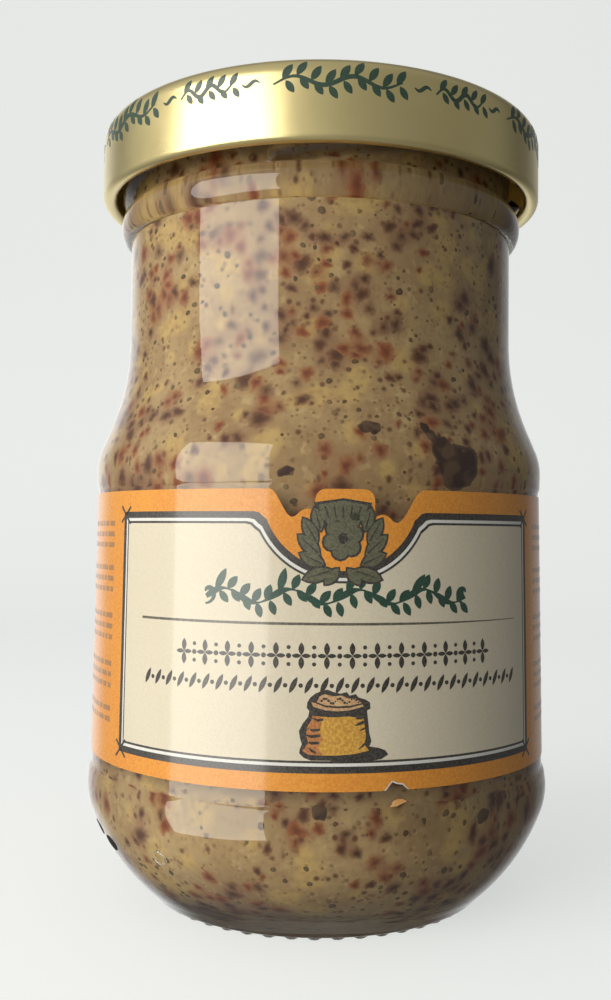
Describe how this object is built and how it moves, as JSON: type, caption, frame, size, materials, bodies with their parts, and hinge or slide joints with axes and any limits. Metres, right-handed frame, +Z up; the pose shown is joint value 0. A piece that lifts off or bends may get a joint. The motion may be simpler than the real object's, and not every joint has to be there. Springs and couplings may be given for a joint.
{
  "type": "mustard jar",
  "caption": "Waisted clear glass jar of whole-grain mustard with a gold twist-off lid and a die-cut paper label; stands upright as a stored grocery jar.",
  "frame": {"origin": "middle of the base, on the plane the knurls stand on", "axes": "+Z up the jar's axis to the lid, -Y to the front of the label, +X to its right side"},
  "size_m": [0.0628, 0.0628, 0.104],
  "materials": {
    "glass": "clear, smooth soda-lime glass",
    "mustard_paste": "moist paste with dark and red-brown seed husks",
    "gold_lacquer": "satin gold lacquer over tinplate, green printed border",
    "label_paper": "coated paper, printed in orange, cream, green and black",
    "scrap_paper": "torn orange edge of the label"
  },
  "bodies": {
    "root": {"jar": "glass", "mustard": "mustard_paste", "lid": "gold_lacquer", "label": "label_paper", "label_scrap": "scrap_paper"}
  },
  "joints": []
}
